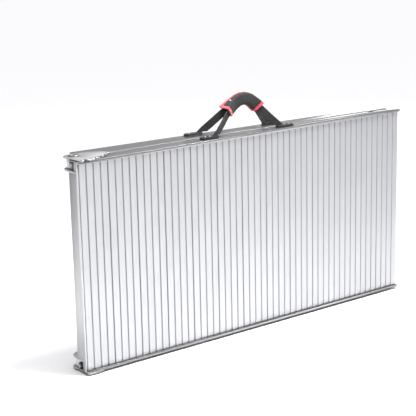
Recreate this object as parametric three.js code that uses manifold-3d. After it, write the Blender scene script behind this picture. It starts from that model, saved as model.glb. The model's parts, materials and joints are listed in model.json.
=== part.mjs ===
// Portable wheelchair ramp that folds in half, standing folded on one long edge.
//
// Units are millimetres, +Z up. X runs along the ramp, Y through the folded stack and Z across the
// ramp's width. While the parts are made, the hinge axis is at x = 0, the front leaf's ribbed deck
// lies in the plane y = 0 and faces -Y, and z = 0 is the upper end of the deck's grooves. At the end
// the whole ramp is moved so that its origin is the middle of its underside.
//
// The front leaf is fixed. The rear leaf turns about the vertical hinge pins, underside to underside
// when folded. Two webbing straps, one on each leaf's upper rail, meet in one padded carrying grip.

import * as THREE from 'three';
import { mergeVertices } from 'three/addons/utils/BufferGeometryUtils.js';
import Module from 'manifold-3d';

const wasm = await Module();
wasm.setup();

// ---------------------------------------------------------------- driving dimensions
const PITCH = 25;                         // one deck rib
const RIBS_PER_PLANK = 4;
const PLANK = PITCH * RIBS_PER_PLANK;     // one extruded plank
const FRONT_PLANKS = 13;
const REAR_PLANKS = 12;
const REAR_TURN = THREE.MathUtils.degToRad(2.8);   // the folded leaves' decks aren't quite parallel
const GROOVE_LENGTH = 625;                // visible deck width between the two kerbs
const GAP = 0.3;                          // between pieces that touch

const PIN_Y = 66;                         // hinge axis: distance from each deck plane
const FRONT_PLANK_X = -PITCH;             // the first plank starts one rib before x = 0
const REAR_END_X = 28.8;                  // measured from the pin along the rear leaf
const REAR_TIP_X = REAR_END_X + 1223;
const FRONT_TIP_X = 1275;
const END_BAR = 3;                        // thickness of the bars that close the hinge ends
const FRONT_END_X = FRONT_PLANK_X - GAP - END_BAR;   // face where the open leaves butt together

const RAIL_TOP = 7.5;                     // outer face of the upper rails
const RAIL_WALL = 3.5;
const KERB_PROUD = 7.5;                   // kerb in front of the deck plane
const KERB_LOW = -0.5;                    // lower edge of the upper kerb
const FLANGE = 20;                        // inner flange along the rails' underside
const FLANGE_WALL = 3;
const PLANK_END = RAIL_TOP - RAIL_WALL - GAP;

const LUG_OUT = [RAIL_TOP + GAP, 11.5];   // outer lug plate, lapped on the rails
const LUG_IN = [-30, -24];                // inner lug plate
const KNUCKLE = [-23.5, 7.3];
const BORE = 6.3;
const BARREL = 20;                        // radius of the knuckle round the pin
const SIDES = 28;                         // facets of the round hinge pieces

const STRAP_WIDE = 24;
const STRAP_THICK = 3;
const CAP_TOP = 14;                       // top of the strap's end caps

// ---------------------------------------------------------------- materials
const metal = (color, roughness) => new THREE.MeshStandardMaterial({ color, roughness, metalness: 0.9 });
const soft = (color, roughness) => new THREE.MeshStandardMaterial({ color, roughness, metalness: 0 });
const DECK = metal(0xdadbdf, 0.4);
const RAIL = metal(0xc4c6ca, 0.45);
const HINGE = metal(0xcfcfcf, 0.5);
const STEEL = metal(0x9a9a98, 0.35);
const WEBBING = soft(0x161616, 0.85);
const CAP = soft(0x121212, 0.45);
const PADDING = soft(0x1c1b1a, 0.8);
const BINDING = soft(0xb81f2c, 0.7);

// ---------------------------------------------------------------- geometry helpers
// The rear leaf's pieces are placed in a group of their own, turned about the hinge pins.
const group = new THREE.Group();
const rearLeaf = new THREE.Group();
rearLeaf.position.y = PIN_Y;
rearLeaf.rotation.z = -REAR_TURN;
group.add(rearLeaf);

function add(name, geometry, material, parent = group) {
  const mesh = new THREE.Mesh(geometry, material.clone());
  mesh.name = name;
  parent.add(mesh);
  return mesh;
}

// A closed outline of [x, y] points, with optional holes, raised from zLow to zHigh.
function slab(outline, zLow, zHigh, holes = []) {
  const shape = new THREE.Shape(outline.map(([x, y]) => new THREE.Vector2(x, y)));
  for (const hole of holes) {
    const points = hole.map(([x, y]) => new THREE.Vector2(x, y));
    if (THREE.ShapeUtils.isClockWise(points)) points.reverse();
    shape.holes.push(new THREE.Path(points));
  }
  const depth = zHigh - zLow;
  const geometry = new THREE.ExtrudeGeometry(shape, { depth, bevelEnabled: false, curveSegments: 1 });
  return geometry.translate(0, 0, zLow);
}

const mirrorZ = (z) => -GROOVE_LENGTH - z;

// The same slab on the upper side, or mirrored to the lower side.
function sideSlab(side, outline, zLow, zHigh, holes = []) {
  if (side === 'upper') return slab(outline, zLow, zHigh, holes);
  return slab(outline, mirrorZ(zHigh), mirrorZ(zLow), holes);
}

function arc(cx, cy, radius, fromDeg, toDeg, steps) {
  const points = [];
  for (let i = 0; i <= steps; i += 1) {
    const a = THREE.MathUtils.degToRad(fromDeg + ((toDeg - fromDeg) * i) / steps);
    points.push([cx + radius * Math.cos(a), cy + radius * Math.sin(a)]);
  }
  return points;
}

const circle = (cx, cy, radius, steps) => arc(cx, cy, radius, 0, 360, steps).slice(0, -1);

function toSolid(geometry) {
  const bare = geometry.clone();
  bare.deleteAttribute('normal');
  bare.deleteAttribute('uv');
  const merged = mergeVertices(bare, 1e-4);
  const vertProperties = new Float32Array(merged.attributes.position.array);
  const triVerts = new Uint32Array(merged.index.array);
  return new wasm.Manifold(new wasm.Mesh({ numProp: 3, vertProperties, triVerts }));
}

function fromSolid(solid) {
  const mesh = solid.getMesh();
  const geometry = new THREE.BufferGeometry();
  geometry.setAttribute('position', new THREE.BufferAttribute(mesh.vertProperties, 3));
  geometry.setIndex(new THREE.BufferAttribute(mesh.triVerts, 1));
  return geometry;
}

function join(...geometries) {
  return fromSolid(geometries.map(toSolid).reduce((a, b) => a.add(b)));
}

function cut(geometry, ...tools) {
  return fromSolid(tools.map(toSolid).reduce((a, b) => a.subtract(b), toSolid(geometry)));
}

// Skin through rings of equally many points; section is the ring's flat outline, counterclockwise
// as seen from the last ring's side.
function loft(rings, section) {
  const count = section.length;
  const positions = rings.flat().flatMap((p) => [p.x, p.y, p.z]);
  const index = [];
  for (let r = 0; r < rings.length - 1; r += 1) {
    for (let k = 0; k < count; k += 1) {
      const a = r * count + k;
      const b = r * count + ((k + 1) % count);
      index.push(a, b, a + count, b, b + count, a + count);
    }
  }
  const last = (rings.length - 1) * count;
  for (const [a, b, c] of THREE.ShapeUtils.triangulateShape(section, [])) {
    index.push(c, b, a, last + a, last + b, last + c);
  }
  const geometry = new THREE.BufferGeometry();
  geometry.setAttribute('position', new THREE.Float32BufferAttribute(positions, 3));
  geometry.setIndex(index);
  return geometry;
}

// ---------------------------------------------------------------- deck planks
// Section of a plank's walking face: u runs along the ramp, v down into the plank.
// Each rib stands proud on its leading edge and falls slightly towards the next groove.
function ribbedFace() {
  const half = 1.6;
  const depth = 2.2;
  const points = [];
  for (let rib = 0; rib < RIBS_PER_PLANK; rib += 1) {
    const u = rib * PITCH;
    points.push([u + half, depth], [u + half + 0.6, 0]);
    points.push([u + PITCH - half - 0.6, 0.9], [u + PITCH - half, depth]);
  }
  const end = 0.4;
  return [[end, depth], ...points, [PLANK - end, depth]];
}

// Plank with two edge webs and a middle web, each with a small foot.
function plankSection() {
  const foot = 25;
  const flange = 2;
  const under = 4.4;
  const left = 0.4;
  const right = PLANK - left;
  const mid = PLANK / 2;
  const inner = foot - flange;
  return [
    ...ribbedFace(),
    [right, foot], [right - 9, foot], [right - 9, inner], [right - 2, inner], [right - 2, under],
    [mid + 1, under], [mid + 1, inner], [mid + 6, inner], [mid + 6, foot],
    [mid - 6, foot], [mid - 6, inner], [mid - 1, inner], [mid - 1, under],
    [left + 2, under], [left + 2, inner], [left + 9, inner], [left + 9, foot], [left, foot],
  ];
}

// The front leaf's last plank: a hollow wedge that thins towards the tip.
function tipPlankSection() {
  return [...ribbedFace(), [PLANK - 0.4, 6], [6, 28], [0.4, 28]];
}

const TIP_HOLLOW = [[3, 4.4], [3, 25.3], [5.4, 25.3], [94, 4.4]];

function plank(section, holes = []) {
  return slab(section, mirrorZ(PLANK_END), PLANK_END, holes);
}

function frontDeck() {
  for (let i = 0; i < FRONT_PLANKS; i += 1) {
    const isTip = i === FRONT_PLANKS - 1;
    const geometry = isTip ? plank(tipPlankSection(), [TIP_HOLLOW]) : plank(plankSection());
    const mesh = add(`front_plank_${String(i + 1).padStart(2, '0')}`, geometry, DECK);
    mesh.position.x = FRONT_PLANK_X + i * PLANK;
  }
}

// The rear deck faces +Y and ends in a bevelled nose.
const REAR_START_X = REAR_END_X + END_BAR + GAP;

function rearDeck() {
  const section = plankSection().map(([u, v]) => [u, -v]);
  for (let i = 0; i < REAR_PLANKS; i += 1) {
    const mesh = add(`rear_plank_${String(i + 1).padStart(2, '0')}`, plank(section), DECK, rearLeaf);
    mesh.position.set(REAR_START_X + i * PLANK, PIN_Y, 0);
  }
  const end = REAR_TIP_X - REAR_START_X - REAR_PLANKS * PLANK;
  const nose = [[0.4, -1], [2, -1], [end, -15], [end, -34], [0.4, -34]];
  const hollow = [[3.4, -5.4], [end - 3, -18], [end - 3, -31], [3.4, -31]];
  const mesh = add('rear_tip_nose', plank(nose, [hollow]), RAIL, rearLeaf);
  mesh.position.set(REAR_START_X + REAR_PLANKS * PLANK, PIN_Y, 0);
}

// ---------------------------------------------------------------- side rails
// Lower edges of the rails, which taper towards the tips: the front ones in the folded ramp's own
// coordinates, the rear ones measured from the pin along the rear leaf.
const FRONT_UNDER = [[FRONT_END_X, 44.5], [32, 44.5], [48, 50.5], [375, 47.5], [625, 40.5], [850, 33], [1157, 31]];
const REAR_UNDER = [[REAR_END_X, -11], [375, 4.5], [625, 11.5], [850, 12], [REAR_TIP_X, 28]];
const RELIEF = [1157, 1180];              // notch in the front rails behind the tip

// A rail: outer wall, kerb bar along the deck and a flange along the underside edge.
function rail(side, wallOutline, holes, kerbOutline, flangeOutline) {
  const wall = sideSlab(side, wallOutline, RAIL_TOP - RAIL_WALL, RAIL_TOP, holes);
  const kerb = sideSlab(side, kerbOutline, KERB_LOW, RAIL_TOP - 1);
  const flange = sideSlab(side, flangeOutline, RAIL_TOP - RAIL_WALL - FLANGE, RAIL_TOP - 1);
  return join(wall, kerb, flange);
}

const offsetY = (points, dy) => points.map(([x, y]) => [x, y + dy]);

function frontRail(side, holes) {
  const wall = [
    [FRONT_END_X, -KERB_PROUD], [FRONT_TIP_X, -KERB_PROUD], [FRONT_TIP_X, 6.5],
    [RELIEF[1], 30], [RELIEF[1], 22], [RELIEF[0], 22], ...[...FRONT_UNDER].reverse(),
  ];
  const kerb = [
    [FRONT_END_X, -KERB_PROUD], [FRONT_TIP_X, -KERB_PROUD], [FRONT_TIP_X, -GAP], [FRONT_END_X, -GAP],
  ];
  const flange = [...FRONT_UNDER, ...offsetY(FRONT_UNDER, -FLANGE_WALL).reverse()];
  return rail(side, wall, holes, kerb, flange.reverse());
}

function rearRail(side, holes) {
  const kerbY = PIN_Y + KERB_PROUD;
  const kerbEnd = REAR_TIP_X - 42;
  const wall = [...REAR_UNDER, [REAR_TIP_X, 52], [kerbEnd, kerbY], [REAR_END_X, kerbY]];
  const kerb = [
    [REAR_END_X, PIN_Y + GAP], [REAR_TIP_X - 32, PIN_Y + GAP], [kerbEnd, kerbY], [REAR_END_X, kerbY],
  ];
  const flange = [...REAR_UNDER, ...offsetY(REAR_UNDER, FLANGE_WALL).reverse()];
  return rail(side, wall, holes, kerb, flange);
}

// ---------------------------------------------------------------- hinge-end bars
function endBars() {
  const bar = (x, yLow, yHigh, zHigh) => slab(
    [[x, yLow], [x + END_BAR, yLow], [x + END_BAR, yHigh], [x, yHigh]], mirrorZ(zHigh), zHigh,
  );
  // The front bar is notched at both ends for the knuckles; the rear one stops short of the hinges.
  const below = LUG_IN[0] - 0.6;
  const notch = [[FRONT_END_X - 1, 11], [FRONT_PLANK_X, 11], [FRONT_PLANK_X, 60], [FRONT_END_X - 1, 60]];
  const tools = ['upper', 'lower'].map((side) => sideSlab(side, notch, below, 20));
  add('front_hinge_end_bar', cut(bar(FRONT_END_X, 0.3, 47.5, PLANK_END), ...tools), RAIL);
  add('rear_hinge_end_bar', bar(REAR_END_X, -10.5, PIN_Y - 0.3, LUG_IN[0] - 1.5), RAIL, rearLeaf);
}

// ---------------------------------------------------------------- hinges
function hinge(side) {
  const bore = circle(0, PIN_Y, BORE, SIDES);
  const outer = [
    [FRONT_END_X + 3, -5], [14, -5], [75, 18], [104, 46], [108, 56], [104, 64], [66, 91], [30, 95],
    ...arc(0, PIN_Y, 29, 90, 205, 12),
  ];
  add(`${side}_outer_lug`, sideSlab(side, outer, ...LUG_OUT, [bore]), HINGE);

  const inner = [
    [FRONT_END_X, 11.5], [FRONT_PLANK_X - GAP, 11.5], [FRONT_PLANK_X - GAP, 26.2], [60, 26.2], [60, 44],
    ...arc(0, PIN_Y, 27, 0, 180, 16), [FRONT_END_X, 50],
  ];
  add(`${side}_inner_lug`, sideSlab(side, inner, ...LUG_IN, [bore]), HINGE);

  // The knuckle's arm lies inside the rear rail.
  const barrel = sideSlab(side, circle(0, 0, BARREL, SIDES), ...KNUCKLE);
  const arm = sideSlab(side, [[4, 2], [70, 2], [70, 11], [4, 11]], KNUCKLE[0], PLANK_END);
  const through = sideSlab(side, circle(0, 0, BORE, SIDES), -40, 20);
  add(`${side}_knuckle`, cut(join(barrel, arm), through), HINGE, rearLeaf);

  pinAndRing(side);
}

// A turned piece on the hinge axis; the lower hinge's pieces are turned upside down.
function onAxis(name, profile, side) {
  const points = profile.map(([r, z]) => new THREE.Vector2(r, z));
  const mesh = add(name, new THREE.LatheGeometry(points, SIDES).rotateX(Math.PI / 2), STEEL);
  mesh.position.set(0, PIN_Y, side === 'upper' ? 0 : -GROOVE_LENGTH);
  if (side === 'lower') mesh.rotation.x = Math.PI;
}

function pinAndRing(side) {
  const seat = LUG_OUT[1] + GAP;
  const top = seat + 3;
  const pin = [
    [0, -36], [5, -36], [6, -35], [6, seat], [15.5, seat], [15.5, seat + 2], [14.2, top],
    [8, top], [7.4, seat + 0.8], [0, seat + 0.8],
  ];
  onAxis(`${side}_hinge_pin`, pin, side);
  const low = LUG_IN[0] - GAP - 2.5;
  const ring = [[6.3, low], [11, low], [11, low + 2.5], [6.3, low + 2.5], [6.3, low]];
  onAxis(`${side}_retaining_ring`, ring, side);
}

// ---------------------------------------------------------------- strap end caps and screws
// Each cap is placed by its middle, in its own leaf's coordinates. The strap comes out of one end,
// and the two screws are towards the other.
const CAP_LONG = 64;
const CAP_WIDE = 25;
const SCREW_INSETS = [15, 33];
const FRONT_CAP_Y = 20;
const REAR_CAP_Y = PIN_Y + KERB_PROUD - 13.5;
const CAPS = {
  front_left: { x: 464, y: FRONT_CAP_Y, strapEnd: 1, leaf: group },
  front_right: { x: 771, y: FRONT_CAP_Y, strapEnd: -1, leaf: group },
  rear_left: { x: 462, y: REAR_CAP_Y, strapEnd: 1, leaf: rearLeaf },
  rear_right: { x: 768, y: REAR_CAP_Y, strapEnd: -1, leaf: rearLeaf },
};

const screwXs = (cap) => SCREW_INSETS.map((inset) => cap.x - cap.strapEnd * (CAP_LONG / 2 - inset));

const screwHoles = (leaf) => Object.values(CAPS)
  .filter((cap) => cap.leaf === leaf)
  .flatMap((cap) => screwXs(cap).map((x) => circle(x, cap.y, 2.6, 12)));

function capAndScrews(name, cap) {
  const r = 9;
  const right = cap.x + CAP_LONG / 2 - r;
  const left = cap.x - CAP_LONG / 2 + r;
  const back = cap.y + CAP_WIDE / 2 - r;
  const front = cap.y - CAP_WIDE / 2 + r;
  const outline = [
    ...arc(right, back, r, 0, 90, 4), ...arc(left, back, r, 90, 180, 4),
    ...arc(left, front, r, 180, 270, 4), ...arc(right, front, r, 270, 360, 4),
  ];
  const holes = screwXs(cap).map((x) => circle(x, cap.y, 2.6, 12));
  add(`${name}_strap_cap`, slab(outline, RAIL_TOP + GAP, CAP_TOP, holes), CAP, cap.leaf);

  const seat = CAP_TOP + GAP;
  const tail = RAIL_TOP - RAIL_WALL;
  const profile = [
    [0, tail], [2.2, tail], [2.2, seat], [4.2, seat], [4, seat + 1.2], [2.4, seat + 2.2],
    [1.4, seat + 2.2], [1.2, seat + 1.2], [0, seat + 1.2],
  ];
  const points = profile.map(([radius, z]) => new THREE.Vector2(radius, z));
  const screw = new THREE.LatheGeometry(points, 12).rotateX(Math.PI / 2);
  screwXs(cap).forEach((x, i) => {
    add(`${name}_cap_screw_${i + 1}`, screw, STEEL, cap.leaf).position.set(x, cap.y, 0);
  });
}

// ---------------------------------------------------------------- straps and grip
// Both straps stand on edge and share one side view: up from the left caps, over the grip and down
// to the right caps. In plan each starts on its own rail, and they run side by side in the grip.
const STRAP_BASE = CAP_TOP + 0.6;
const FOOT_X = { left: 494, right: 747 };
const MEET_X = { left: 592, right: 672 };
const GRIP_Y = 62;
const STATIONS = 24;

const sideView = new THREE.SplineCurve([
  [FOOT_X.left, STRAP_BASE], [530, 44], [564, 72], [593, 95], [618, 107.5], [648, 107], [672, 92],
  [695, 69.5], [722, 40], [FOOT_X.right, STRAP_BASE],
].map(([x, z]) => new THREE.Vector2(x, z)));

// A point of the side view and the direction across the strap there, at a share of its length.
function station(share) {
  const tangent = sideView.getTangentAt(share);
  return { at: sideView.getPointAt(share), up: new THREE.Vector2(-tangent.y, tangent.x) };
}

const rearCapY = (x) => PIN_Y + REAR_CAP_Y / Math.cos(REAR_TURN) - x * Math.tan(REAR_TURN);

// Plan view of a strap: y at x, between its two feet and the level stretch in the grip.
function planView(footY, gripY) {
  const share = (x, from, to) => THREE.MathUtils.clamp((x - from) / (to - from), 0, 1);
  return (x) => {
    const grip = x < MEET_X.left
      ? share(x, FOOT_X.left - 4, MEET_X.left)
      : 1 - share(x, MEET_X.right, FOOT_X.right + 4);
    const foot = x < MEET_X.left ? footY(FOOT_X.left) : footY(FOOT_X.right);
    return foot + (gripY - foot) * grip;
  };
}

const RECTANGLE = [[1, 1], [-1, 1], [-1, -1], [1, -1]].map(([x, y]) => new THREE.Vector2(x, y));

const frontPlan = planView(() => FRONT_CAP_Y, GRIP_Y - 2);
const rearPlan = planView(rearCapY, GRIP_Y + 2);

function strap(name, plan) {
  const half = STRAP_WIDE / 2;
  const edge = (p, side) => {
    const slope = (plan(p.x + 2) - plan(p.x - 2)) / 4;
    const normal = new THREE.Vector3(-slope, 1, 0).setLength((side * STRAP_THICK) / 2);
    return new THREE.Vector3(p.x, plan(p.x), p.y).add(normal);
  };
  const rings = [];
  for (let i = 0; i <= STATIONS; i += 1) {
    const { at, up } = station(i / STATIONS);
    let across = up.multiplyScalar(half);
    // The ends are cut level, just above the caps.
    if (i === 0 || i === STATIONS) across = new THREE.Vector2((half * half) / across.x, 0);
    const top = at.clone().add(across);
    const bottom = at.clone().sub(across);
    rings.push([edge(top, 1), edge(top, -1), edge(bottom, -1), edge(bottom, 1)]);
  }
  add(name, loft(rings, RECTANGLE), WEBBING);
}

// The padded wrap is sewn to the front strap and open towards the rear, so the rear strap can
// leave it when the leaves or the straps swing apart. Its section is measured across the straps and
// from the front or the rear strap's middle, so it spreads towards its ends as they do.
const WRAP = { front: -7.6, inner: -3.6, rear: 4.4, half: 18.6, innerHalf: 14.6 };
const WRAP_SECTION = [
  [frontPlan, WRAP.front, -WRAP.half], [rearPlan, WRAP.rear, -WRAP.half],
  [rearPlan, WRAP.rear, -WRAP.innerHalf], [frontPlan, WRAP.inner, -WRAP.innerHalf],
  [frontPlan, WRAP.inner, WRAP.innerHalf], [rearPlan, WRAP.rear, WRAP.innerHalf],
  [rearPlan, WRAP.rear, WRAP.half], [frontPlan, WRAP.front, WRAP.half],
];

// A stretch of the wrap's section along the side view, between two lengths from its left foot.
function sleeve(name, from, to, material) {
  const total = sideView.getLength();
  const steps = Math.max(1, Math.round((to - from) / 9));
  const rings = [];
  for (let i = 0; i <= steps; i += 1) {
    const { at, up } = station((from + ((to - from) * i) / steps) / total);
    rings.push(WRAP_SECTION.map(([plan, out, across]) => {
      const x = at.x + up.x * across;
      return new THREE.Vector3(x, plan(x) + out, at.y + up.y * across);
    }));
  }
  const flat = rings[0].map((q, i) => new THREE.Vector2(q.y, WRAP_SECTION[i][2]));
  add(name, loft(rings, flat), material);
}

function gripAndStraps() {
  strap('front_strap', frontPlan);
  strap('rear_strap', rearPlan);
  const start = 93;
  const end = sideView.getLength() - 86;
  const tape = 8;
  sleeve('grip_left_binding', start, start + tape, BINDING);
  sleeve('grip_wrap', start + tape + GAP, end - tape - GAP, PADDING);
  sleeve('grip_right_binding', end - tape, end, BINDING);
}

// ---------------------------------------------------------------- assembly
frontDeck();
rearDeck();
for (const side of ['upper', 'lower']) {
  const holes = (leaf) => (side === 'upper' ? screwHoles(leaf) : []);
  add(`front_${side}_rail`, frontRail(side, holes(group)), RAIL);
  add(`rear_${side}_rail`, rearRail(side, holes(rearLeaf)), RAIL, rearLeaf);
  hinge(side);
}
endBars();
for (const [name, cap] of Object.entries(CAPS)) capAndScrews(name, cap);
gripAndStraps();

const bounds = new THREE.Box3().setFromObject(group, true);
const middle = bounds.getCenter(new THREE.Vector3());
group.position.set(-middle.x, -middle.y, -bounds.min.z);
group.updateMatrixWorld(true);

export default group;
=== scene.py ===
"""The looks of the folding wheelchair ramp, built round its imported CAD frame.

Lengths are millimetres in the ramp's own drawing, and at() turns them into metres in the frame:
x runs along the ramp from the hinge axis, y back from the front deck, z up from the grooves' top ends.
"""
import json
import math
import random

import bmesh
import bpy
from mathutils import Matrix, Vector

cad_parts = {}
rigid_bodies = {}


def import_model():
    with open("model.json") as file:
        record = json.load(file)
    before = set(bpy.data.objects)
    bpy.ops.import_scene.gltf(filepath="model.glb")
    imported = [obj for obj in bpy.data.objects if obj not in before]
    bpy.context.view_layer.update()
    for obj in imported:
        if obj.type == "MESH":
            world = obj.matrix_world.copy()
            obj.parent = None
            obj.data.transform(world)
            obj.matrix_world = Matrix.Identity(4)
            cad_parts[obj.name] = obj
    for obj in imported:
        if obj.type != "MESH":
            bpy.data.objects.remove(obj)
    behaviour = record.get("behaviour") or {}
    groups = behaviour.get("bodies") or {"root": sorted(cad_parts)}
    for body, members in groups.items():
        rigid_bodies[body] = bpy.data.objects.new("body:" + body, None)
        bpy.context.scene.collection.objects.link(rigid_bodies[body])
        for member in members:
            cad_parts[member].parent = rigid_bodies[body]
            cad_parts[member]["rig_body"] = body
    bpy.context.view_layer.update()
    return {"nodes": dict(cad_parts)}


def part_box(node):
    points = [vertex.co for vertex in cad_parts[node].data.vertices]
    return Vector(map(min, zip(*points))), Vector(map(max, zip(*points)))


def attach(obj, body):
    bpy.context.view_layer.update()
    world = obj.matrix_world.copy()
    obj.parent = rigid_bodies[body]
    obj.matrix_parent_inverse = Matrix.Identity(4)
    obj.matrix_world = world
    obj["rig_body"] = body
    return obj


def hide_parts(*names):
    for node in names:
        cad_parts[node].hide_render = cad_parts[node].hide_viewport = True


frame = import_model()
NODES = frame["nodes"]

# ---------------------------------------------------------------- driving dimensions, millimetres
MM = 0.001
PITCH = 25                       # one deck rib
RIBS = 4                         # ribs of a plank
PLANK = PITCH * RIBS
GROOVE_LENGTH = 625
RAIL_TOP = 7.5
KERB_PROUD = 7.5
PIN_Y = 66
REAR_TURN = math.radians(2.8)
FRONT_END_X = -28.3
PLANK_END = 3.7                  # planks' ends, inside the rails' walls
CAP_TOP = 14

# The front rail fixes the drawing's origin in the frame.
RAIL_LOW, RAIL_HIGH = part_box("front_upper_rail")
ORIGIN = Vector((
    RAIL_LOW.x - FRONT_END_X * MM,
    RAIL_LOW.y + KERB_PROUD * MM,
    RAIL_HIGH.z - RAIL_TOP * MM,
))
REAR_LEAF = Matrix.Translation(Vector((0, PIN_Y, 0))) @ Matrix.Rotation(-REAR_TURN, 4, "Z")


def at(point):
    return ORIGIN + Vector(point) * MM


# ---------------------------------------------------------------- mesh helpers
def new_object(name, vertices, faces, smooth_angle=35):
    mesh = bpy.data.meshes.new(name)
    mesh.from_pydata([tuple(v) for v in vertices], [], faces)
    mesh.validate()
    work = bmesh.new()
    work.from_mesh(mesh)
    bmesh.ops.recalc_face_normals(work, faces=work.faces)
    work.to_mesh(mesh)
    work.free()
    mesh.polygons.foreach_set("use_smooth", [True] * len(mesh.polygons))
    mesh.set_sharp_from_angle(angle=math.radians(smooth_angle))
    obj = bpy.data.objects.new(name, mesh)
    bpy.context.scene.collection.objects.link(obj)
    return obj


def loft(name, rings, smooth_angle=35):
    """A skin through rings of points. UVs are metres along the rings' path and round the ring."""
    count = len(rings[0])
    vertices = [p for ring in rings for p in ring]
    faces = []
    last = (len(rings) - 1) * count
    for a in range(0, last, count):
        b = a + count
        for k in range(count):
            n = (k + 1) % count
            faces.append((a + k, a + n, b + n, b + k))
    faces.append(tuple(range(count)))
    faces.append(tuple(last + k for k in reversed(range(count))))
    obj = new_object(name, vertices, faces, smooth_angle)
    lay_uvs(obj, rings)
    return obj


def lay_uvs(obj, rings):
    count = len(rings[0])
    along = [0.0]
    middles = [sum(ring, Vector()) / count for ring in rings]
    for before, after in zip(middles, middles[1:]):
        along.append(along[-1] + (after - before).length)
    around = [0.0]
    for before, after in zip(rings[0], rings[0][1:]):
        around.append(around[-1] + (after - before).length)
    uv = obj.data.uv_layers.new(name="UVMap")
    for loop in obj.data.loops:
        ring, k = divmod(loop.vertex_index, count)
        uv.data[loop.index].uv = (along[ring], around[k])


def round_corners(points, radius, steps=3):
    """The outline with each corner turned into a short curve."""
    result = []
    count = len(points)
    for i, corner in enumerate(points):
        here = Vector(corner)
        before = Vector(points[i - 1]) - here
        after = Vector(points[(i + 1) % count]) - here
        reach = min(radius, before.length * 0.45, after.length * 0.45)
        start = here + before.normalized() * reach
        end = here + after.normalized() * reach
        for s in range(steps + 1):
            t = s / steps
            result.append(start * (1 - t) ** 2 + here * 2 * t * (1 - t) + end * t * t)
    return result


def finish_piece(obj, body, material, replaced=()):
    obj.data.materials.clear()
    obj.data.materials.append(material)
    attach(obj, body)
    if replaced:
        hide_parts(*replaced)
    return obj


def softened(node, width, material, segments=2):
    """The CAD node's own shape with its edges rounded off, in place of the node."""
    source = NODES[node]
    mesh = source.data.copy()
    mesh.materials.clear()
    obj = bpy.data.objects.new(f"{node}_finished", mesh)
    bpy.context.scene.collection.objects.link(obj)
    work = bmesh.new()
    work.from_mesh(mesh)
    bmesh.ops.remove_doubles(work, verts=work.verts, dist=0.00002)
    flat = math.radians(1.5)
    bmesh.ops.dissolve_limit(work, angle_limit=flat, verts=work.verts, edges=work.edges)
    work.to_mesh(mesh)
    work.free()
    bevel = obj.modifiers.new("edges", "BEVEL")
    bevel.width = width * MM
    bevel.segments = segments
    bevel.limit_method = "ANGLE"
    bevel.angle_limit = math.radians(28)
    bevel.use_clamp_overlap = True
    bevel.harden_normals = True
    depsgraph = bpy.context.evaluated_depsgraph_get()
    shaped = bpy.data.meshes.new_from_object(obj.evaluated_get(depsgraph))
    obj.modifiers.clear()
    obj.data = shaped
    shaped.polygons.foreach_set("use_smooth", [True] * len(shaped.polygons))
    shaped.set_sharp_from_angle(angle=math.radians(50))
    return finish_piece(obj, source["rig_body"], material, [node])


# ---------------------------------------------------------------- materials
class Nodes:
    """Short names for building a node tree."""

    def __init__(self, name):
        self.material = bpy.data.materials.new(name)
        self.material.use_nodes = True
        self.tree = self.material.node_tree
        self.shader = self.tree.nodes["Principled BSDF"]

    def add(self, kind, inputs=None, **settings):
        node = self.tree.nodes.new(kind)
        for key, value in settings.items():
            setattr(node, key, value)
        for key, value in (inputs or {}).items():
            if isinstance(value, bpy.types.NodeSocket):
                self.tree.links.new(value, node.inputs[key])
            else:
                node.inputs[key].default_value = value
        return node

    def coordinates(self, output, scale):
        source = self.add("ShaderNodeTexCoord").outputs[output]
        return self.add("ShaderNodeMapping", {"Vector": source, "Scale": scale}).outputs["Vector"]

    def noise(self, vector, scale, detail=4.0, roughness=0.5):
        return self.add("ShaderNodeTexNoise", {
            "Vector": vector, "Scale": scale, "Detail": detail, "Roughness": roughness,
        }).outputs["Fac"]

    def mix(self, share, a, b):
        node = self.add("ShaderNodeMix", data_type="RGBA")
        sockets = {"factor": node.inputs[0], "a": node.inputs[6], "b": node.inputs[7]}
        for socket, value in zip(sockets.values(), (share, a, b)):
            if isinstance(value, bpy.types.NodeSocket):
                self.tree.links.new(value, socket)
            else:
                socket.default_value = value
        return node.outputs[2]

    def spread(self, value, low, high, from_low=0.0, from_high=1.0):
        return self.add("ShaderNodeMapRange", {
            "Value": value, "From Min": from_low, "From Max": from_high, "To Min": low, "To Max": high,
        }).outputs["Result"]

    def math(self, operation, a, b=0.0):
        node = self.add("ShaderNodeMath", operation=operation)
        for socket, value in zip(node.inputs, (a, b)):
            if isinstance(value, bpy.types.NodeSocket):
                self.tree.links.new(value, socket)
            else:
                socket.default_value = value
        return node.outputs[0]

    def bump(self, height, strength, distance, normal=None):
        inputs = {"Height": height, "Strength": strength, "Distance": distance}
        if normal is not None:
            inputs["Normal"] = normal
        return self.add("ShaderNodeBump", inputs).outputs["Normal"]

    def painted_shade(self, reach, power=1.5):
        """Painted shade: 1 deep in corners and slots, 0 in the open; the materials darken their colour
        with it.
        """
        open_share = self.add("ShaderNodeAmbientOcclusion", {"Distance": reach}).outputs["AO"]
        return self.math("SUBTRACT", 1.0, self.math("POWER", open_share, power))

    def connect(self, value, socket):
        self.tree.links.new(value, self.shader.inputs[socket])

    def set(self, **values):
        for name, value in values.items():
            self.shader.inputs[name.replace("_", " ")].default_value = value


def grey(value):
    return (value, value, value * 1.01, 1.0)


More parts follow.
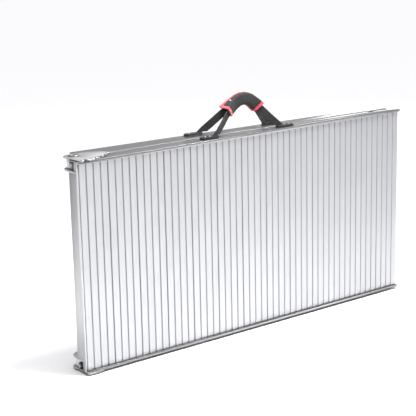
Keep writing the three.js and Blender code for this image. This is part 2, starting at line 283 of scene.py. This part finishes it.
def aluminium(name, grain, tone=0.82, rough=0.38, reach=0.014):
    """Mill-finish aluminium with drawing lines along one axis, dull patches, small scratches and painted
    shade in corners and slots.

    grain is the stretch of the object's coordinates: small along the lines, large across them.
    """
    m = Nodes(name)
    lines = m.noise(m.coordinates("Object", grain), 1.0, 3.0, 0.6)
    cloud = m.noise(m.coordinates("Object", (1, 1, 1)), 7.0, 5.0, 0.6)
    speck = m.noise(m.coordinates("Object", (1, 1, 1)), 190.0, 3.0, 0.7)
    color = m.mix(lines, grey(tone * 0.93), grey(tone * 1.05))
    color = m.mix(m.spread(cloud, 0.0, 0.5, 0.45, 0.75), color, grey(tone * 0.86))
    color = m.mix(m.spread(speck, 0.0, 0.55, 0.66, 0.74), color, grey(tone * 0.7))
    # Painted shade: the colour goes near black in corners, slots and round the pins, where shade falls.
    color = m.mix(m.painted_shade(reach, 2.0), color, grey(tone * 0.1))
    m.connect(color, "Base Color")
    m.set(Metallic=0.9)
    streaks = m.spread(lines, rough - 0.07, rough + 0.09)
    roughness = m.math("ADD", streaks, m.spread(cloud, -0.05, 0.09))
    m.connect(roughness, "Roughness")
    m.connect(m.bump(lines, 0.25, 0.0004), "Normal")
    return m.material


def deck_aluminium():
    """The planks' aluminium: lines along the extrusion, and the grooves darker and rougher towards their
    bottoms, the darkening being painted shade.
    """
    m = Nodes("deck_aluminium")
    lines = m.noise(m.coordinates("Object", (900, 900, 2.5)), 1.0, 3.0, 0.6)
    broad = m.noise(m.coordinates("Object", (60, 60, 1.6)), 1.0, 3.0, 0.55)
    cloud = m.noise(m.coordinates("Object", (1, 1, 1)), 6.0, 5.0, 0.6)
    scuff = m.noise(m.coordinates("Object", (70, 70, 22)), 1.0, 4.0, 0.75)
    groove_shade_mask = m.add("ShaderNodeAttribute", attribute_name="groove_shade_mask").outputs["Fac"]
    color = m.mix(lines, (0.43, 0.433, 0.447, 1), (0.54, 0.543, 0.557, 1))
    color = m.mix(m.spread(broad, 0.0, 0.5, 0.4, 0.7), color, (0.5, 0.503, 0.517, 1))
    color = m.mix(m.spread(cloud, 0.0, 0.4, 0.45, 0.75), color, (0.44, 0.442, 0.453, 1))
    color = m.mix(m.spread(scuff, 0.0, 0.6, 0.64, 0.76), color, (0.34, 0.34, 0.345, 1))
    # Painted shade: darker down in the grooves.
    color = m.mix(m.math("MULTIPLY", groove_shade_mask, 0.45), color, (0.2, 0.2, 0.205, 1))
    m.connect(color, "Base Color")
    m.set(Metallic=0.85)
    roughness = m.math("ADD", m.spread(lines, 0.34, 0.5), m.spread(cloud, -0.04, 0.08))
    m.connect(m.math("ADD", roughness, m.math("MULTIPLY", groove_shade_mask, 0.2)), "Roughness")
    m.connect(m.bump(lines, 0.3, 0.0003), "Normal")
    return m.material


def weld_metal():
    m = Nodes("weld_metal")
    fine = m.noise(m.coordinates("Object", (1, 1, 1)), 420.0, 4.0, 0.6)
    soot = m.noise(m.coordinates("Object", (1, 1, 1)), 75.0, 3.0, 0.5)
    sooty = m.spread(soot, 0.0, 1.0, 0.46, 0.58)
    color = m.mix(sooty, (0.62, 0.62, 0.62, 1), (0.07, 0.068, 0.066, 1))
    # Painted shade: darker in the bead's hollows and where it meets the metal.
    color = m.mix(m.painted_shade(0.006, 2.5), color, (0.05, 0.05, 0.05, 1))
    m.connect(color, "Base Color")
    m.set(Metallic=0.85)
    m.connect(m.spread(fine, 0.22, 0.5), "Roughness")
    m.connect(m.bump(fine, 0.4, 0.0006), "Normal")
    return m.material


def plated_steel(name, dark, light):
    m = Nodes(name)
    turned = m.noise(m.coordinates("Object", (300, 300, 40)), 1.0, 3.0, 0.6)
    cloud = m.noise(m.coordinates("Object", (1, 1, 1)), 90.0, 3.0, 0.6)
    color = m.mix(cloud, dark, light)
    # Painted shade: darker in corners and round the heads, where shade falls.
    m.connect(m.mix(m.painted_shade(0.004, 2.0), color, (0.03, 0.03, 0.03, 1)), "Base Color")
    m.set(Metallic=1.0)
    m.connect(m.spread(turned, 0.2, 0.42), "Roughness")
    m.connect(m.bump(turned, 0.15, 0.0003), "Normal")
    return m.material


def woven(name, dark, light, warp=0.0016, weft=0.0011, fuzz=0.25):
    """Woven tape: ribs of warp along the strap, crossed by weft, laid out by the piece's UVs."""
    m = Nodes(name)
    uv = m.add("ShaderNodeTexCoord").outputs["UV"]
    split = m.add("ShaderNodeSeparateXYZ", {"Vector": uv})
    turn = 2 * math.pi
    over = m.math("SINE", m.math("MULTIPLY", split.outputs["X"], turn / weft))
    beside = m.math("SINE", m.math("MULTIPLY", split.outputs["Y"], turn / warp))
    weave = m.math("MULTIPLY", over, beside)
    height = m.spread(weave, 0.0, 1.0, -1.0, 1.0)
    worn = m.noise(m.coordinates("Object", (1, 1, 1)), 45.0, 5.0, 0.65)
    hair = m.noise(m.coordinates("Object", (1, 1, 1)), 2200.0, 2.0, 0.6)
    color = m.mix(height, dark, light)
    pale = tuple(min(1.0, c * 1.6 + 0.006) for c in light[:3]) + (1.0,)
    color = m.mix(m.spread(worn, 0.0, 0.6, 0.45, 0.8), color, pale)
    m.connect(color, "Base Color")
    m.connect(m.spread(hair, 0.62, 0.9), "Roughness")
    m.set(Sheen_Weight=fuzz, Sheen_Roughness=0.5)
    m.connect(m.bump(hair, 0.1, 0.0003, m.bump(height, 0.5, 0.0005)), "Normal")
    return m.material


def padded_cloth(name, dark, light):
    """Plain woven cloth of the padded wrap, with a fine square weave in the object's coordinates."""
    m = Nodes(name)
    point = m.coordinates("Object", (1, 1, 1))
    split = m.add("ShaderNodeSeparateXYZ", {"Vector": point})
    turn = 2 * math.pi / 0.0014
    threads = [m.math("SINE", m.math("MULTIPLY", split.outputs[axis], turn)) for axis in "XYZ"]
    crossing = m.math("MULTIPLY", threads[0], threads[2])
    weave = m.math("ADD", crossing, m.math("MULTIPLY", threads[1], 0.5))
    height = m.spread(weave, 0.0, 1.0, -1.5, 1.5)
    folds = m.noise(point, 60.0, 4.0, 0.55)
    hair = m.noise(point, 1900.0, 2.0, 0.6)
    color = m.mix(height, dark, light)
    color = m.mix(m.spread(folds, 0.0, 0.5, 0.4, 0.8), color, light)
    m.connect(color, "Base Color")
    m.connect(m.spread(hair, 0.7, 0.95), "Roughness")
    m.set(Sheen_Weight=0.12, Sheen_Roughness=0.4)
    m.connect(m.bump(height, 0.35, 0.0004, m.bump(folds, 0.35, 0.003)), "Normal")
    return m.material


def moulded_black():
    m = Nodes("moulded_black")
    point = m.coordinates("Object", (1, 1, 1))
    grain = m.noise(point, 900.0, 3.0, 0.6)
    cloud = m.noise(point, 70.0, 4.0, 0.6)
    m.connect(m.mix(cloud, (0.010, 0.010, 0.011, 1), (0.022, 0.022, 0.024, 1)), "Base Color")
    m.connect(m.spread(cloud, 0.28, 0.45), "Roughness")
    m.connect(m.bump(grain, 0.15, 0.0003), "Normal")
    return m.material


DECK = deck_aluminium()
RAIL = aluminium("rail_aluminium", (2.0, 700, 700), tone=0.36, rough=0.22)
BAR = aluminium("bar_aluminium", (700, 700, 2.0), tone=0.66, rough=0.38)
PLATE = aluminium("plate_aluminium", (60, 420, 420), tone=0.5, rough=0.36)
BARREL = aluminium("barrel_aluminium", (60, 60, 420), tone=0.74, rough=0.4, reach=0.003)
WELD = weld_metal()
STEEL = plated_steel("plated_steel", (0.26, 0.26, 0.25, 1), (0.42, 0.42, 0.41, 1))
RING = plated_steel("ring_steel", (0.05, 0.05, 0.05, 1), (0.12, 0.12, 0.115, 1))
WEBBING = woven("black_webbing", (0.002, 0.002, 0.0022, 1), (0.007, 0.0065, 0.007, 1), fuzz=0.03)
TAPE = woven("red_tape", (0.30, 0.008, 0.02, 1), (0.62, 0.03, 0.06, 1), 0.0012, 0.0009, 0.4)
PADDING = padded_cloth("padded_black", (0.003, 0.003, 0.003, 1), (0.010, 0.0095, 0.0095, 1))
CAP = moulded_black()
THREAD = woven("black_thread", (0.02, 0.02, 0.02, 1), (0.05, 0.05, 0.05, 1), 0.0006, 0.0006)

# ---------------------------------------------------------------- deck planks
GROOVE_HALF = 1.6
GROOVE_DEPTH = 2.2
FRONT_PLANKS = 13
REAR_PLANKS = 12
REAR_START_X = 32.1              # the rear leaf's first plank, from the pins
TIP_EDGE = 6                     # thickness of the front leaf's tip


def rib_profile():
    """Walking face of one plank: (u along the ramp, v into the plank) for four saw-tooth ribs."""
    points = [(0.4, GROOVE_DEPTH)]
    for rib in range(RIBS):
        u = rib * PITCH
        points += [
            (u + GROOVE_HALF, GROOVE_DEPTH), (u + GROOVE_HALF + 0.6, 0.05),
            (u + GROOVE_HALF + 3.2, 0.0), (u + PITCH - GROOVE_HALF - 3.4, 0.62),
            (u + PITCH - GROOVE_HALF - 0.6, 0.9), (u + PITCH - GROOVE_HALF, GROOVE_DEPTH),
        ]
    points.append((PLANK - 0.4, GROOVE_DEPTH))
    return points


def plank_section():
    foot, flange, under = 25, 2, 4.4
    left, right, mid = 0.4, PLANK - 0.4, PLANK / 2
    inner = foot - flange
    return rib_profile() + [
        (right, foot), (right - 9, foot), (right - 9, inner), (right - 2, inner), (right - 2, under),
        (mid + 1, under), (mid + 1, inner), (mid + 6, inner), (mid + 6, foot),
        (mid - 6, foot), (mid - 6, inner), (mid - 1, inner), (mid - 1, under),
        (left + 2, under), (left + 2, inner), (left + 9, inner), (left + 9, foot), (left, foot),
    ]


def tip_plank_section():
    """The front leaf's last plank thins towards the tip."""
    return rib_profile() + [(PLANK - 0.4, TIP_EDGE), (6, 28), (0.4, 28)]


def plank(name, section, place, body, depth_sign):
    """Extrudes a section over the deck's width. depth_sign is the way into the plank along y."""
    outline = round_corners(section, 0.45, 2)
    low, high = -GROOVE_LENGTH - PLANK_END, PLANK_END
    steps = 12
    rings = []
    for i in range(steps + 1):
        z = low + (high - low) * i / steps
        ring = [place @ Vector((q.x, depth_sign * q.y, z)) for q in outline]
        rings.append([at(p) for p in ring])
    obj = loft(name, rings, smooth_angle=40)
    # Groove mask: 0 on the ribs, rising to 1 at the grooves' bottoms; the deck material paints shade
    # with it.
    attribute = obj.data.attributes.new("groove_shade_mask", "FLOAT", "POINT")
    share = [min(1.0, max(0.0, (q.y - 1.0) / 1.1)) if q.y < 2.4 else 0.0 for q in outline]
    attribute.data.foreach_set("value", share * (steps + 1))
    return finish_piece(obj, body, DECK, [name.removesuffix("_finished")])


def build_decks():
    for i in range(FRONT_PLANKS):
        section = tip_plank_section() if i == FRONT_PLANKS - 1 else plank_section()
        place = Matrix.Translation(Vector((-PITCH + i * PLANK, 0, 0)))
        plank(f"front_plank_{i + 1:02d}_finished", section, place, "front_leaf", 1)
    for i in range(REAR_PLANKS):
        place = REAR_LEAF @ Matrix.Translation(Vector((REAR_START_X + i * PLANK, PIN_Y, 0)))
        plank(f"rear_plank_{i + 1:02d}_finished", plank_section(), place, "rear_leaf", -1)


# ---------------------------------------------------------------- rails, bars and hinges
def build_frame():
    for leaf in ("front", "rear"):
        for side in ("upper", "lower"):
            softened(f"{leaf}_{side}_rail", 0.35, RAIL)
        softened(f"{leaf}_hinge_end_bar", 0.5, BAR)
    softened("rear_tip_nose", 0.6, BAR)
    for side in ("upper", "lower"):
        softened(f"{side}_outer_lug", 0.6, PLATE)
        softened(f"{side}_inner_lug", 0.6, PLATE)
        softened(f"{side}_knuckle", 0.5, BARREL)
        softened(f"{side}_hinge_pin", 0.4, STEEL)
        softened(f"{side}_retaining_ring", 0.3, RING)


def flip(point, side):
    x, y, z = point
    return (x, y, z if side == "upper" else -GROOVE_LENGTH - z)


def along(path, spacing):
    """Points at even spacing along a bent line, with their directions."""
    corners = [Vector(p) for p in path]
    result = []
    left_over = 0.0
    for start, end in zip(corners, corners[1:]):
        length = (end - start).length
        direction = (end - start).normalized()
        s = left_over
        while s < length:
            result.append((start + direction * s, direction))
            s += spacing
        left_over = s - length
    return result


def weld_bead(name, path, body, outward, width=9.5, height=5.6, seed=1):
    """A fillet of overlapping ripples along a path. outward points from the corner into the open."""
    dice = random.Random(seed)
    ripple = 3.2
    steps = 8
    sides = 10
    rings = []
    stations = along(path, ripple / steps)
    wander = 0.0
    for i, (point, direction) in enumerate(stations):
        if i % steps == 0:
            wander = dice.uniform(-0.7, 0.7)
            swell = dice.uniform(0.8, 1.2)
        phase = (i % steps) / steps
        lump = 1 + 0.28 * math.sin(i * ripple / steps * 0.47 + seed)
        size = lump * swell * (0.66 + 0.42 * math.sin(math.pi * phase) ** 0.6)
        if i < steps or i >= len(stations) - steps:
            size *= 0.7
        up = Vector((0, 0, 1)) if outward[2] >= 0 else Vector((0, 0, -1))
        side = Vector((outward[0], outward[1], 0)).normalized()
        ring = []
        for k in range(sides):
            a = 2 * math.pi * k / sides
            lean = direction * (0.5 * math.cos(a))
            reach = side * (math.cos(a) * width / 2 * size + wander)
            ring.append(at(point + reach + up * (math.sin(a) * height / 2 * size) + lean))
        rings.append(ring)
    obj = loft(name, rings, smooth_angle=75)
    return finish_piece(obj, body, WELD)


def build_welds():
    for side in ("upper", "lower"):
        z = RAIL_TOP + 1.2
        way = 1 if side == "upper" else -1
        edge = [
            (FRONT_END_X + 5, -5.6, z), (14, -5.6, z), (75, 17.4, z), (104.4, 45.4, z), (107.6, 50.6, z),
        ]
        path = [flip(p, side) for p in edge]
        seed = 11 if side == "upper" else 12
        weld_bead(f"{side}_lug_weld", path, "front_leaf", (0.4, -1, way), seed=seed)
        inner = [flip((FRONT_END_X + 4.5, y, -31.2), side) for y in (12, 47)]
        weld_bead(f"{side}_end_bar_weld", inner, "front_leaf", (1, 0, -way), 4.0, 3.0, seed + 10)
        arm = [REAR_LEAF @ Vector(flip((x, 13.0, 2.2), side)) for x in (32, 68)]
        weld_bead(f"{side}_arm_weld", arm, "rear_leaf", (0, 1, way), 4.0, 3.0, seed + 20)


# ---------------------------------------------------------------- strap caps
def build_caps():
    for leaf in ("front", "rear"):
        for end in ("left", "right"):
            softened(f"{leaf}_{end}_strap_cap", 1.9, CAP, segments=4)
            for i in (1, 2):
                softened(f"{leaf}_{end}_cap_screw_{i}", 0.35, STEEL)


# ---------------------------------------------------------------- straps and grip
STRAP_BASE = CAP_TOP + 0.6
STRAP_WIDE = 24
STRAP_THICK = 2.6
FOOT = {"left": 494, "right": 747}
MEET = {"left": 592, "right": 672}
GRIP_Y = 62
SIDE_POINTS = [
    (FOOT["left"], STRAP_BASE), (530, 44), (564, 72), (593, 95), (618, 107.5), (648, 107), (672, 92),
    (695, 69.5), (722, 40), (FOOT["right"], STRAP_BASE),
]


def spline(points, per_span=40):
    """A smooth line through the points, each span between two of them a cubic."""
    result = []
    last = len(points) - 1
    for i in range(last):
        p0, p1, p2, p3 = (Vector(points[max(0, min(last, i + k))]) for k in (-1, 0, 1, 2))
        v0, v1 = (p2 - p0) / 2, (p3 - p1) / 2
        for s in range(per_span):
            t = s / per_span
            cubic = 2 * p1 - 2 * p2 + v0 + v1
            square = -3 * p1 + 3 * p2 - 2 * v0 - v1
            result.append(cubic * t ** 3 + square * t ** 2 + v0 * t + p1)
    return result + [Vector(points[-1])]


SIDE_VIEW = spline(SIDE_POINTS)
SIDE_LENGTHS = [0.0]
for here, after in zip(SIDE_VIEW, SIDE_VIEW[1:]):
    SIDE_LENGTHS.append(SIDE_LENGTHS[-1] + (after - here).length)
SIDE_TOTAL = SIDE_LENGTHS[-1]


def station(length):
    """Point of the side view at a length from the left foot, and the direction across the strap."""
    i = 1
    while i < len(SIDE_LENGTHS) - 1 and SIDE_LENGTHS[i] < length:
        i += 1
    share = (length - SIDE_LENGTHS[i - 1]) / (SIDE_LENGTHS[i] - SIDE_LENGTHS[i - 1])
    point = SIDE_VIEW[i - 1].lerp(SIDE_VIEW[i], share)
    low, high = SIDE_VIEW[max(0, i - 4)], SIDE_VIEW[min(len(SIDE_VIEW) - 1, i + 3)]
    tangent = (high - low).normalized()
    return point, Vector((-tangent.y, tangent.x))


def plan_view(left_y, right_y, grip_y):
    def y_at(x):
        if x < MEET["left"]:
            share = (x - FOOT["left"] + 4) / (MEET["left"] - FOOT["left"] + 4)
            foot = left_y
        else:
            share = 1 - (x - MEET["right"]) / (FOOT["right"] + 4 - MEET["right"])
            foot = right_y
        return foot + (grip_y - foot) * max(0.0, min(1.0, share))
    return y_at


def smooth_y(y_at, x, reach=9):
    """The plan's bends, rounded over a few millimetres."""
    return sum(y_at(x + reach * k / 3) for k in range(-3, 4)) / 7


FRONT_PLAN = plan_view(20, 20, GRIP_Y - 2)
REAR_CAP_Y = PIN_Y + KERB_PROUD - 13.5


def rear_y(x):
    return PIN_Y + REAR_CAP_Y / math.cos(REAR_TURN) - x * math.tan(REAR_TURN)


REAR_PLAN = plan_view(rear_y(FOOT["left"]), rear_y(FOOT["right"]), GRIP_Y + 2)


def band_outline(width, thick):
    """Half outline of webbing: flat faces and rounded selvedges, as (across, out) pairs."""
    w, t = width / 2, thick / 2
    outline = round_corners([(w, t), (-w, t), (-w, -t), (w, -t)], thick * 0.45, 3)
    dense = []
    for i, q in enumerate(outline):
        after = outline[(i + 1) % len(outline)]
        pieces = max(1, round((after - q).length / 2.5))
        dense += [q.lerp(after, k / pieces) for k in range(pieces)]
    return dense


def strap(name, y_at, body, replaced):
    outline = band_outline(STRAP_WIDE, STRAP_THICK)
    steps = 110
    rings = []
    for i in range(steps + 1):
        length = SIDE_TOTAL * i / steps
        point, across = station(length)
        slope = (smooth_y(y_at, point.x + 3) - smooth_y(y_at, point.x - 3)) / 6
        normal = Vector((-slope, 1)).normalized()
        ripple = 0.25 * math.sin(length * 0.11) + 0.15 * math.sin(length * 0.31 + 1)
        ring = []
        for q in outline:
            edge = point + across * q.x
            x, z = edge.x, edge.y
            if z < STRAP_BASE or i in (0, steps):
                # The ends are cut level, just above the caps.
                run = Vector((across.y, -across.x))
                back = (STRAP_BASE - z) / run.y if abs(run.y) > 0.1 else 0
                x, z = x + run.x * back, STRAP_BASE
            y = smooth_y(y_at, x)
            selvedge = 1 + 0.12 * (2 * abs(q.x) / STRAP_WIDE) ** 6
            out = q.y * selvedge + ripple
            ring.append(at((x + normal.x * out, y + normal.y * out, z)))
        rings.append(ring)
    obj = loft(name, rings, smooth_angle=50)
    finish_piece(obj, body, WEBBING, replaced)
    return obj


def stitches(name, y_at, body, rows, out, length_range, pitch=4.2):
    """Rows of stitches on a strap's face; each is a short rounded bar standing slightly proud."""
    vertices, faces = [], []
    start, end = length_range
    for row in rows:
        s = start
        while s + pitch * 0.62 < end:
            first, across = station(s)
            second, _ = station(s + pitch * 0.62)
            a, b = first + across * row, second + across * row
            y_a, y_b = smooth_y(y_at, a.x) + out, smooth_y(y_at, b.x) + out
            bar(vertices, faces, at((a.x, y_a, a.y)), at((b.x, y_b, b.y)), 0.00036)
            s += pitch
    obj = new_object(name, vertices, faces, 80)
    return finish_piece(obj, body, THREAD)


def bar(vertices, faces, start, end, radius, sides=6):
    """Adds a bar with pointed ends from start to end."""
    direction = (end - start).normalized()
    side = direction.orthogonal().normalized()
    up = direction.cross(side)
    first = len(vertices)
    vertices.append(start)
    for share in (0.15, 0.85):
        centre = start.lerp(end, share)
        for k in range(sides):
            a = 2 * math.pi * k / sides
            vertices.append(centre + (side * math.cos(a) + up * math.sin(a)) * radius)
    vertices.append(end)
    for k in range(sides):
        n = (k + 1) % sides
        faces.append((first, first + 1 + n, first + 1 + k))
        faces.append((first + 1 + k, first + 1 + n, first + 1 + sides + n, first + 1 + sides + k))
        faces.append((first + 1 + sides + k, first + 1 + sides + n, first + 1 + 2 * sides))


WRAP_START = 93
WRAP_END = SIDE_TOTAL - 86
WRAP_FRONT, WRAP_INNER, WRAP_REAR = 52.0, 56.6, 68.4
WRAP_HALF, WRAP_INNER_HALF = 18.4, 14.9


def wrap_y(x, y):
    """Where the wrap's section lies at x: it follows the two straps as they spread apart."""
    front, rear = GRIP_Y - 2, GRIP_Y + 2
    near, far = smooth_y(FRONT_PLAN, x), smooth_y(REAR_PLAN, x)
    if y <= front:
        return near + y - front
    if y >= rear:
        return far + y - rear
    return near + (far - near) * (y - front) / (rear - front)


def wrap_outline(grow):
    """C-shaped section of the padded wrap, (y, across), open towards the rear strap."""
    front, inner, rear = WRAP_FRONT - grow, WRAP_INNER + grow * 0.3, WRAP_REAR + grow
    high, low = WRAP_HALF + grow, WRAP_INNER_HALF - grow * 0.3
    corners = [
        (front, -high), (rear, -high), (rear, -low), (inner, -low),
        (inner, low), (rear, low), (rear, high), (front, high),
    ]
    outline = []
    for i, (y, w) in enumerate(corners):
        radius = 6.5 if y == front else 1.6
        before, after = corners[i - 1], corners[(i + 1) % len(corners)]
        here = Vector((y, w))
        to_before = (Vector(before) - here)
        to_after = (Vector(after) - here)
        start = here + to_before.normalized() * min(radius, to_before.length * 0.45)
        end = here + to_after.normalized() * min(radius, to_after.length * 0.45)
        for s in range(5):
            t = s / 4
            outline.append(start * (1 - t) ** 2 + here * 2 * t * (1 - t) + end * t * t)
    dense = []
    for i, q in enumerate(outline):
        after = outline[(i + 1) % len(outline)]
        pieces = max(1, round((after - q).length / 2.2))
        dense += [q.lerp(after, k / pieces) for k in range(pieces)]
    crowned = []
    for q in dense:
        crown = 1.6 * max(0.0, 1 - (q.y / WRAP_HALF) ** 2) if q.x < WRAP_FRONT + 3 else 0.0
        crowned.append(Vector((q.x - crown, q.y)))
    return crowned


def wrap_piece(name, start, end, grow, material, replaced, step=2.0, puff=None):
    rings = []
    outline = wrap_outline(grow)
    count = max(2, round((end - start) / step))
    for i in range(count + 1):
        length = start + (end - start) * i / count
        point, across = station(length)
        ring = []
        for q in outline:
            y, w = q.x, q.y
            if puff:
                y, w = puff(length, y, w)
            edge = point + across * w
            ring.append(at((edge.x, wrap_y(edge.x, y), edge.y)))
        rings.append(ring)
    obj = loft(name, rings, smooth_angle=60)
    return finish_piece(obj, "front_handle", material, replaced)


def puffed(length, y, w):
    """Padding swells between the end tapes, with soft creases across the inside of the bend."""
    share = (length - WRAP_START) / (WRAP_END - WRAP_START)
    swell = math.sin(math.pi * max(0.0, min(1.0, share))) ** 0.35
    outer = y < WRAP_FRONT + 4 or abs(w) > WRAP_INNER_HALF + 1.5
    if not outer:
        return y, w
    crease = 0.35 * math.sin(length * 0.52 + 0.05 * w) + 0.25 * math.sin(length * 0.23 + 0.3 * w)
    lower = 0.5 if w < 0 else 0.22
    puff = 1.5 * swell + crease * lower
    y_puff = y - puff if y < WRAP_FRONT + 4 else y
    w_puff = w + math.copysign(min(1.4, puff), w) if abs(w) > WRAP_INNER_HALF + 1.5 else w
    return y_puff, w_puff


def edge_tape(name, way):
    """Red tape folded over the rear edge of the wrap's upper or lower flap."""
    middle = (WRAP_HALF + WRAP_INNER_HALF) / 2 + 0.9
    front, rear = WRAP_REAR - 5.2, WRAP_REAR + 1.2
    corners = [(front, -2.5), (rear, -2.5), (rear, 2.9), (front, 2.9)]
    outline = round_corners(corners, 1.6, 4)
    rings = []
    start, end = WRAP_START + 1.0, WRAP_END - 1.0
    count = 70
    for i in range(count + 1):
        length = start + (end - start) * i / count
        point, across = station(length)
        ring = []
        for q in outline:
            lift = 0.25 * math.sin(length * 0.4)
            edge = point + across * (way * (middle + q.y + lift))
            ring.append(at((edge.x, wrap_y(edge.x, q.x), edge.y)))
        rings.append(ring if way > 0 else ring[::-1])
    obj = loft(name, rings, smooth_angle=60)
    return finish_piece(obj, "front_handle", TAPE)


def press_stud():
    """A domed press stud with a rolled rim on the wrap's upper flap."""
    profile = [(1.6, 2.5), (2.8, 2.0), (3.3, 1.4), (4.0, 1.5), (4.7, 1.2), (4.9, 0.4), (4.6, -0.8)]
    point, across = station(WRAP_START + 30)
    seat = point + across * (WRAP_HALF + 1.2)
    foot = at((seat.x, GRIP_Y - 3, seat.y))
    up = Vector((across.x, 0, across.y))
    side = Vector((0, 1, 0))
    third = up.cross(side)
    sides = 32
    rings = []
    for r, h in profile:
        ring = []
        for k in range(sides):
            a = 2 * math.pi * k / sides
            ring.append(foot + (side * math.cos(a) + third * math.sin(a)) * r * MM + up * h * MM)
        rings.append(ring)
    obj = loft("grip_press_stud", rings, smooth_angle=60)
    return finish_piece(obj, "front_handle", STEEL)


def build_handle():
    strap("front_strap_webbing", FRONT_PLAN, "front_handle", ["front_strap"])
    strap("rear_strap_webbing", REAR_PLAN, "rear_handle", ["rear_strap"])
    for name, plan, body, out in (
        ("front_strap_stitches", FRONT_PLAN, "front_handle", -1.55),
        ("rear_strap_stitches", REAR_PLAN, "rear_handle", 1.55),
    ):
        stitches(name, plan, body, (-9.6, 9.6), out, (22, SIDE_TOTAL - 22))
    tape = 8.0
    wrap_piece("grip_left_tape", WRAP_START, WRAP_START + tape, 0.9, TAPE,
               ["grip_left_binding"], 1.3)
    wrap_piece("grip_right_tape", WRAP_END - tape, WRAP_END, 0.9, TAPE,
               ["grip_right_binding"], 1.3)
    pad = wrap_piece("grip_padding", WRAP_START + 2, WRAP_END - 2, 0.0, PADDING,
                     ["grip_wrap"], 1.8, puffed)
    edge_tape("grip_upper_tape", 1)
    edge_tape("grip_lower_tape", -1)
    press_stud()


# ---------------------------------------------------------------- floor, light and camera
# Brightness of the studio against height: 0 is the horizon and 1 straight up.
SKY = [(0.0, 0.4), (0.1, 0.24), (0.55, 0.28), (0.8, 1.0), (1.0, 1.0)]
CAMERA_PLACE = (-1858.2, -2989.8, 724.6)
CAMERA_TURN = (76.143, 1.206, -37.814)          # degrees
CAMERA_LENS = 108.37


def stage_material():
    m = Nodes("studio_floor")
    m.set(Base_Color=(0.93, 0.93, 0.93, 1), Roughness=0.75)
    return m.material


def build_stage():
    half = 30.0
    corners = [(-half, -half, 0), (half, -half, 0), (half, half, 0), (-half, half, 0)]
    floor = new_object("studio_floor", corners, [(0, 1, 2, 3)])
    floor.data.materials.append(stage_material())


def build_world():
    """A plain studio: pale at the horizon, greyer above it and bright overhead."""
    world = bpy.data.worlds.new("studio")
    world.use_nodes = True
    nodes, links = world.node_tree.nodes, world.node_tree.links
    where = nodes.new("ShaderNodeTexCoord")
    split = nodes.new("ShaderNodeSeparateXYZ")
    sky = nodes.new("ShaderNodeValToRGB")
    links.new(where.outputs["Generated"], split.inputs["Vector"])
    links.new(split.outputs["Z"], sky.inputs["Fac"])
    links.new(sky.outputs["Color"], nodes["Background"].inputs["Color"])
    nodes["Background"].inputs["Strength"].default_value = 1.6
    stops = sky.color_ramp.elements
    for height, value in SKY[1:-1]:
        stops.new(height)
    for stop, (height, value) in zip(stops, SKY):
        stop.position = height
        stop.color = (value, value, value * 1.02, 1)
    bpy.context.scene.world = world


def area_light(name, place, target, size, watts):
    light = bpy.data.lights.new(name, "AREA")
    light.shape = "SQUARE"
    light.size = size
    light.energy = watts
    obj = bpy.data.objects.new(name, light)
    bpy.context.scene.collection.objects.link(obj)
    obj.location = place
    obj.rotation_euler = (Vector(target) - Vector(place)).to_track_quat("-Z", "Y").to_euler()


def build_lights():
    middle = (0, 0, 0.35)
    area_light("near_floor", (0.1, -0.5, 1.9), (0.1, -0.45, 0), 0.8, 66)
    area_light("front", (-3.2, -3.0, 2.2), middle, 2.0, 6)
    area_light("right_card", (3.6, 2.6, 1.2), (0.6, 0, 0.6), 1.2, 10)


def build_camera():
    camera = bpy.data.cameras.new("photo_view")
    camera.lens = CAMERA_LENS
    camera.sensor_width = 36
    camera.clip_end = 100
    obj = bpy.data.objects.new("photo_view", camera)
    bpy.context.scene.collection.objects.link(obj)
    obj.location = at(CAMERA_PLACE)
    obj.rotation_euler = [math.radians(a) for a in CAMERA_TURN]
    bpy.context.scene.camera = obj


build_camera()
build_stage()
build_world()
build_lights()
build_decks()
build_frame()
build_welds()
build_caps()
build_handle()

bpy.context.scene.view_settings.view_transform = "Standard"
